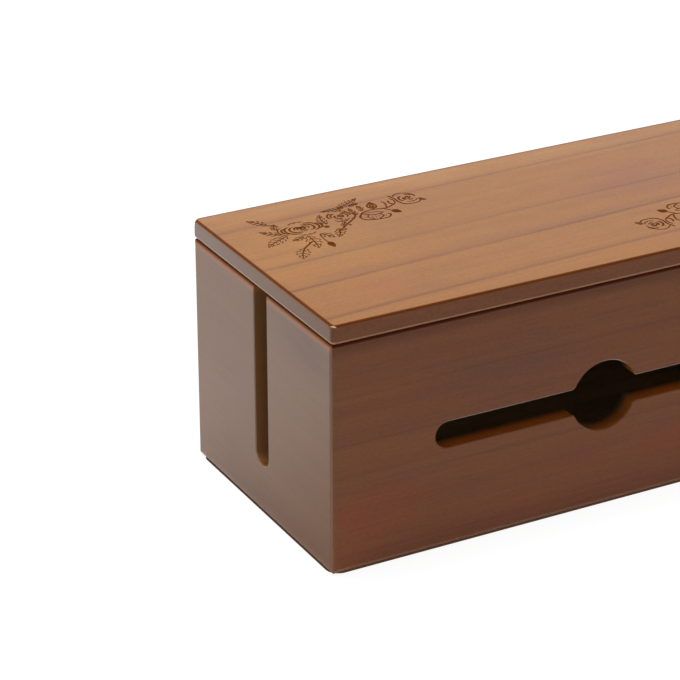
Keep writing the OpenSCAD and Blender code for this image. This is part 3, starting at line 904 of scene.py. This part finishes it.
def lid_section(thickness):
    """Inset and height of each ring up the lid's edge, from its underside to its top."""
    rings = [(LID_LOW_ROUND + GUARD, 0.0)]
    for i in range(ARC_STEPS + 1):
        angle = math.pi / 2 * i / ARC_STEPS
        rings.append((LID_LOW_ROUND * (1 - math.sin(angle)), LID_LOW_ROUND * (1 - math.cos(angle))))
    rings.append((0.0, LID_LOW_ROUND + GUARD))
    worn_from, worn_to = thickness - WEAR_REACH, thickness - LID_TOP_ROUND - GUARD
    for i in range(WEAR_STEPS + 1):
        rings.append((0.0, worn_from + (worn_to - worn_from) * i / WEAR_STEPS))
    for i in range(ARC_STEPS + 1):
        angle = math.pi / 2 * i / ARC_STEPS
        rings.append((LID_TOP_ROUND * (1 - math.cos(angle)),
                      thickness - LID_TOP_ROUND * (1 - math.sin(angle))))
    rings.append((LID_TOP_ROUND + GUARD, thickness))
    return rings


def lid_sides(low, high, verts, faces):
    """Underside and edge of the lid board in rings, rounder at its corners towards the top.
    Gives the uppermost ring."""
    thickness = high.z - low.z
    rings = []
    for inset, height in lid_section(thickness):
        wear_and_highlight = max(0.0, (height - thickness + WEAR_REACH) / WEAR_REACH)
        outline = lid_outline((high.x - low.x) / 2, (high.y - low.y) / 2, inset,
                              LID_CORNER_ROUND + CORNER_WEAR * wear_and_highlight ** 2)
        rings.append([len(verts) + i for i in range(len(outline))])
        verts += [(x, y, low.z + height) for x, y in outline]
    for below, above in zip(rings, rings[1:]):
        for i in range(len(below)):
            j = (i + 1) % len(below)
            faces.append((below[i], below[j], above[j], above[i]))
    faces.append(rings[0][::-1])
    return rings[-1]


def engraved_top(ring, top, verts, faces):
    """The top is cut up along every groove; what lies inside a groove goes down. Gives the grooves'
    faces."""
    rim = [verts[i][:2] for i in ring]
    cuts = spray()
    cuts += [[(2 * SPRAY_CENTRE[0] - x, 2 * SPRAY_CENTRE[1] - y) for x, y in cut] for cut in cuts]
    points, shapes = [], []
    for outline in [rim] + [anticlockwise(cut) for cut in cuts]:
        shapes.append(list(range(len(points), len(points) + len(outline))))
        points += [Vector(p) for p in outline]
    flat, _, pieces, sources, _, owners = delaunay_2d_cdt(points, [], shapes, CUT_INSIDE, WELD_REACH,
                                                          True)
    level, sunk = {}, {}
    for place, source in enumerate(sources):
        for s in source:
            if s < len(rim):
                level[place] = ring[s]

    def vertex(store, place, z):
        if place not in store:
            store[place] = len(verts)
            verts.append((flat[place].x, flat[place].y, z))
        return store[place]

    burnt = []
    grooved_edges, open_edges = set(), set()
    for piece, owner in zip(pieces, owners):
        a, b, c = (flat[i] for i in piece)
        if (b - a).cross(c - a) < 0:
            piece = piece[::-1]
        inside = any(o > 0 for o in owner)
        edges = grooved_edges if inside else open_edges
        edges.update((piece[i], piece[(i + 1) % 3]) for i in range(3))
        if inside:
            burnt.append(len(faces))
            faces.append([vertex(sunk, i, top - ENGRAVING_DEPTH) for i in piece])
        else:
            faces.append([vertex(level, i, top) for i in piece])
    for i, j in sorted(grooved_edges):
        if (j, i) in open_edges:
            burnt.append(len(faces))
            faces.append((sunk[j], sunk[i], level[i], level[j]))
    return burnt


def engraved_lid(wood_material, burnt_material):
    """The lid board with the spray cut into its top, and again half a turn round."""
    low, high = (Vector(c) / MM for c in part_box("lid_board"))
    verts, faces = [], []
    ring = lid_sides(low, high, verts, faces)
    burnt = engraved_top(ring, high.z, verts, faces)
    mesh = bpy.data.meshes.new("engraved_lid")
    mesh.from_pydata([tuple(c * MM for c in v) for v in verts], [], faces)
    mesh.materials.append(wood_material)
    mesh.materials.append(burnt_material)
    for i in burnt:
        mesh.polygons[i].material_index = 1
    mesh.shade_smooth()
    mesh.set_sharp_from_angle(angle=math.radians(SHARP_ANGLE))
    lid = bpy.data.objects.new("engraved_lid", mesh)
    bpy.context.scene.collection.objects.link(lid)
    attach(lid, "lid")
    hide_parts("lid_board")


# ---------------- dressing the frame

# Each wall's look, its axes along, across and through the board, and its outer side.
WALLS = {
    "front_panel": ("stained_lacquered_front", FRONT_LOOK, "XZY", ("low", 1)),
    "back_panel": ("stained_lacquered_back", FRONT_LOOK, "XZY", ("high", 1)),
    "left_end_panel": ("stained_lacquered_left_end", END_LOOK, "YZX", ("low", 0)),
    "right_end_panel": ("stained_lacquered_right_end", END_LOOK, "YZX", ("high", 0)),
}


def corner_of(name, side, axis):
    """Where a board's measures start: its low corner, but on its outer face."""
    low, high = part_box(name)
    corner = list(low)
    if side == "high":
        corner[axis] = high[axis]
    return tuple(corner)


def dress():
    low, high = (Vector(c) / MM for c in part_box("lid_board"))
    lid_wood = wood("stained_lacquered_lid", LID_LOOK, "XYZ", corner_of("lid_board", "high", 2),
                    (high - low)[:2])
    engraved_lid(lid_wood, scorched_wood())
    finishes = {
        "lid": lid_wood,
        "strip": wood("planed_pine_strip", PLANED, "XYZ", (0, 0, 0)),
        "corner": wood("planed_pine_block", PLANED, "ZXY", (0, 0, 0)),
        "bottom": wood("sealed_pine_board", SEALED, "XYZ", (0, 0, 0)),
        "foot": moulded_rubber(),
        "screws": zinc_plated_steel(),
    }
    for name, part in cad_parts.items():
        if name in WALLS:
            title, look, grain, outer = WALLS[name]
            finish = wood(title, look, grain, corner_of(name, *outer))
        else:
            words = name.split("_")
            finish = finishes.get(words[-1]) or finishes[words[0]]
        part.data.materials.clear()
        part.data.materials.append(finish)


place_camera()
soft_lamp()
studio_world()
lay_floor()
dress()

bpy.context.scene.view_settings.view_transform = "Standard"
